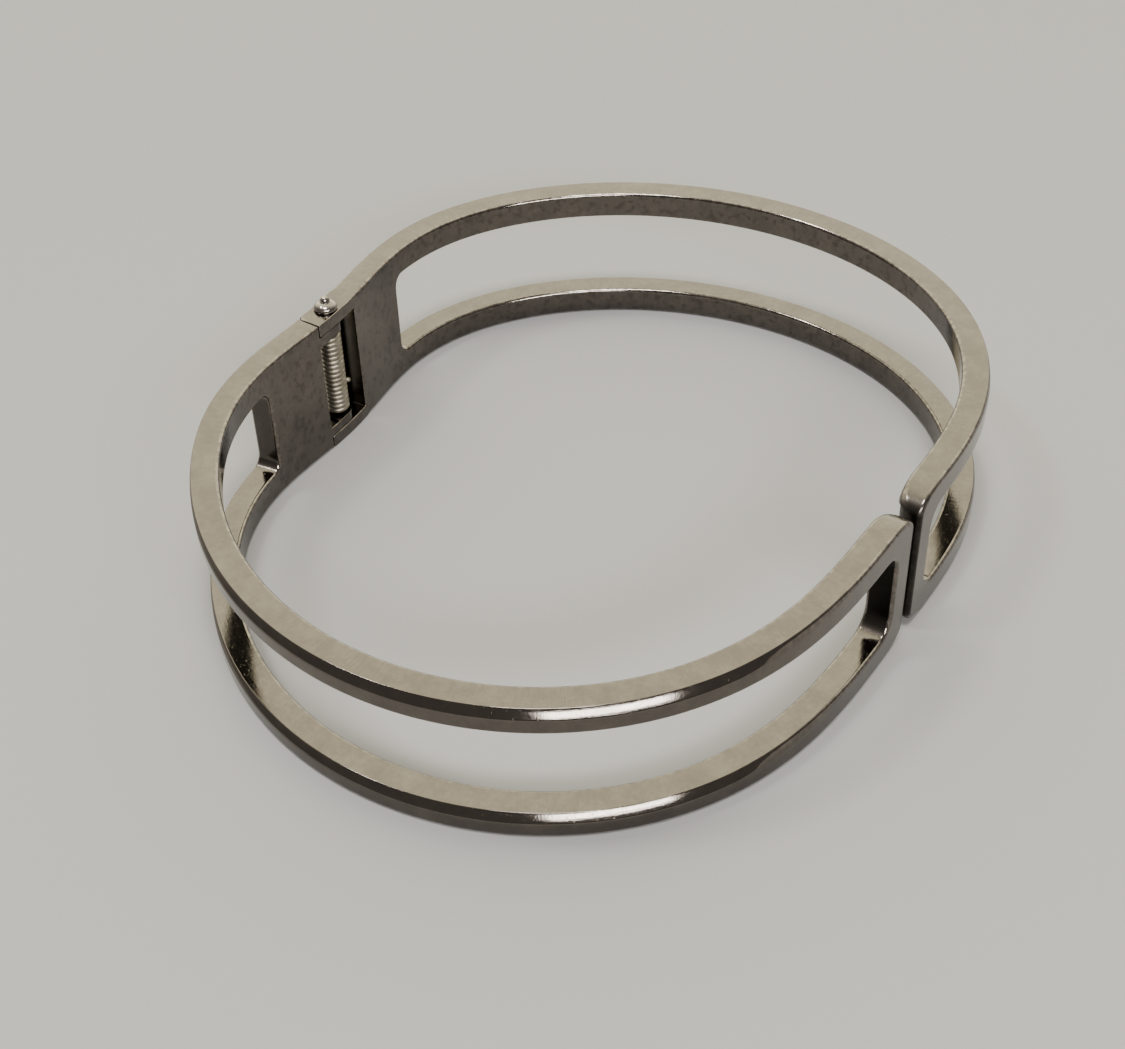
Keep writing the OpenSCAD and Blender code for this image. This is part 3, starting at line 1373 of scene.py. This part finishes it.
@dataclass
class Studio:
    """Floor, soft lights and camera."""

    azimuth: float = 32.62
    elevation: float = 40.74
    roll: float = -2.027
    lens: float = 58.80
    distance: float = 125.0
    target: tuple = (5.683, -13.23, 12.02)
    bright_side: tuple = (-0.41, 0.64, 0.65)
    sky_strength: float = 3.5
    lamp_distance: float = 0.7
    floor_half: float = 1.5
    floor_drop: float = 0.00002

    def camera(self) -> None:
        """Adds the camera."""
        a, e, r = (math.radians(x) for x in (self.azimuth, self.elevation, self.roll))
        back = Vector((math.sin(a) * math.cos(e), -math.cos(a) * math.cos(e), math.sin(e)))
        right = Vector((math.cos(a), math.sin(a), 0.0))
        up = back.cross(right)
        right2 = right * math.cos(r) + up * math.sin(r)
        up2 = up * math.cos(r) - right * math.sin(r)
        data = bpy.data.cameras.new("camera")
        data.lens = self.lens
        data.sensor_width = 36.0
        data.clip_start, data.clip_end = 0.005, 20.0
        cam = bpy.data.objects.new("camera", data)
        place = (Vector(self.target) + back * self.distance) * MM
        turn = Matrix((right2, up2, back)).transposed().to_4x4()
        cam.matrix_world = Matrix.Translation(place) @ turn
        bpy.context.scene.collection.objects.link(cam)
        bpy.context.scene.camera = cam

    def floor(self) -> None:
        """Adds the pale surface under the bangle."""
        mesh = bpy.data.meshes.new("floor")
        shape = bmesh.new()
        bmesh.ops.create_grid(shape, x_segments=1, y_segments=1, size=self.floor_half)
        shape.to_mesh(mesh)
        shape.free()
        mesh.materials.append(PaleFloor().build())
        ground = bpy.data.objects.new("floor", mesh)
        ground.location.z = -self.floor_drop
        bpy.context.scene.collection.objects.link(ground)

    def softbox(
        self, name: str, azimuth: float, elevation: float, size: tuple, power: float, tint: tuple
    ) -> None:
        """Adds a soft light aimed at the bangle.

        Args:
            name: The light's name.
            azimuth: Where it stands, 0 in front (-Y), in degrees.
            elevation: Its height above the horizon, in degrees.
            size: Its width and height in metres.
            power: Its power in watts.
            tint: Its colour.
        """
        a, e = math.radians(azimuth), math.radians(elevation)
        way = Vector((math.sin(a) * math.cos(e), -math.cos(a) * math.cos(e), math.sin(e)))
        data = bpy.data.lights.new(name, "AREA")
        data.shape = "RECTANGLE"
        data.size, data.size_y = size
        data.energy = power
        data.color = tint
        lamp = bpy.data.objects.new(name, data)
        lamp.location = way * self.lamp_distance
        lamp.rotation_mode = "QUATERNION"
        lamp.rotation_quaternion = way.to_track_quat("Z", "Y")
        bpy.context.scene.collection.objects.link(lamp)

    def sky(self) -> None:
        """Sets a soft room light from one side."""
        world = bpy.data.worlds.new("room")
        bpy.context.scene.world = world
        world.use_nodes = True
        tree = world.node_tree
        tree.nodes.clear()
        place = tree.nodes.new("ShaderNodeTexCoord")
        toward = tree.nodes.new("ShaderNodeVectorMath")
        toward.operation = "DOT_PRODUCT"
        toward.inputs[1].default_value = Vector(self.bright_side).normalized()
        ramp = tree.nodes.new("ShaderNodeValToRGB")
        glow = tree.nodes.new("ShaderNodeBackground")
        out = tree.nodes.new("ShaderNodeOutputWorld")
        stops = [
            (0.0, (0.09, 0.083, 0.076)),
            (0.25, (0.12, 0.11, 0.10)),
            (0.55, (0.30, 0.28, 0.25)),
            (0.82, (1.0, 0.95, 0.72)),
            (1.0, (1.0, 0.95, 0.72)),
        ]
        Recipe.set_stops(ramp.color_ramp, stops)
        glow.inputs["Strength"].default_value = self.sky_strength
        tree.links.new(place.outputs["Generated"], toward.inputs[0])
        tree.links.new(toward.outputs["Value"], ramp.inputs[0])
        tree.links.new(ramp.outputs[0], glow.inputs[0])
        tree.links.new(glow.outputs[0], out.inputs[0])

    def build(self) -> None:
        """Adds everything."""
        self.camera()
        self.floor()
        self.sky()
        self.softbox("overhead", 25.0, 76.0, (0.22, 0.14), 4.0, (1.0, 0.98, 0.95))
        self.softbox("window", 47.0, 31.0, (0.42, 0.12), 5.5, (1.0, 0.97, 0.93))
        self.softbox("left", -64.0, 62.0, (0.10, 0.10), 1.5, (1.0, 0.97, 0.92))


def main() -> None:
    """Builds the bangle and its studio; the build logs each piece's face count."""
    logging.basicConfig(level=logging.INFO)
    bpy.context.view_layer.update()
    Bangle().build()
    Studio().build()


if __name__ == "__main__":
    main()
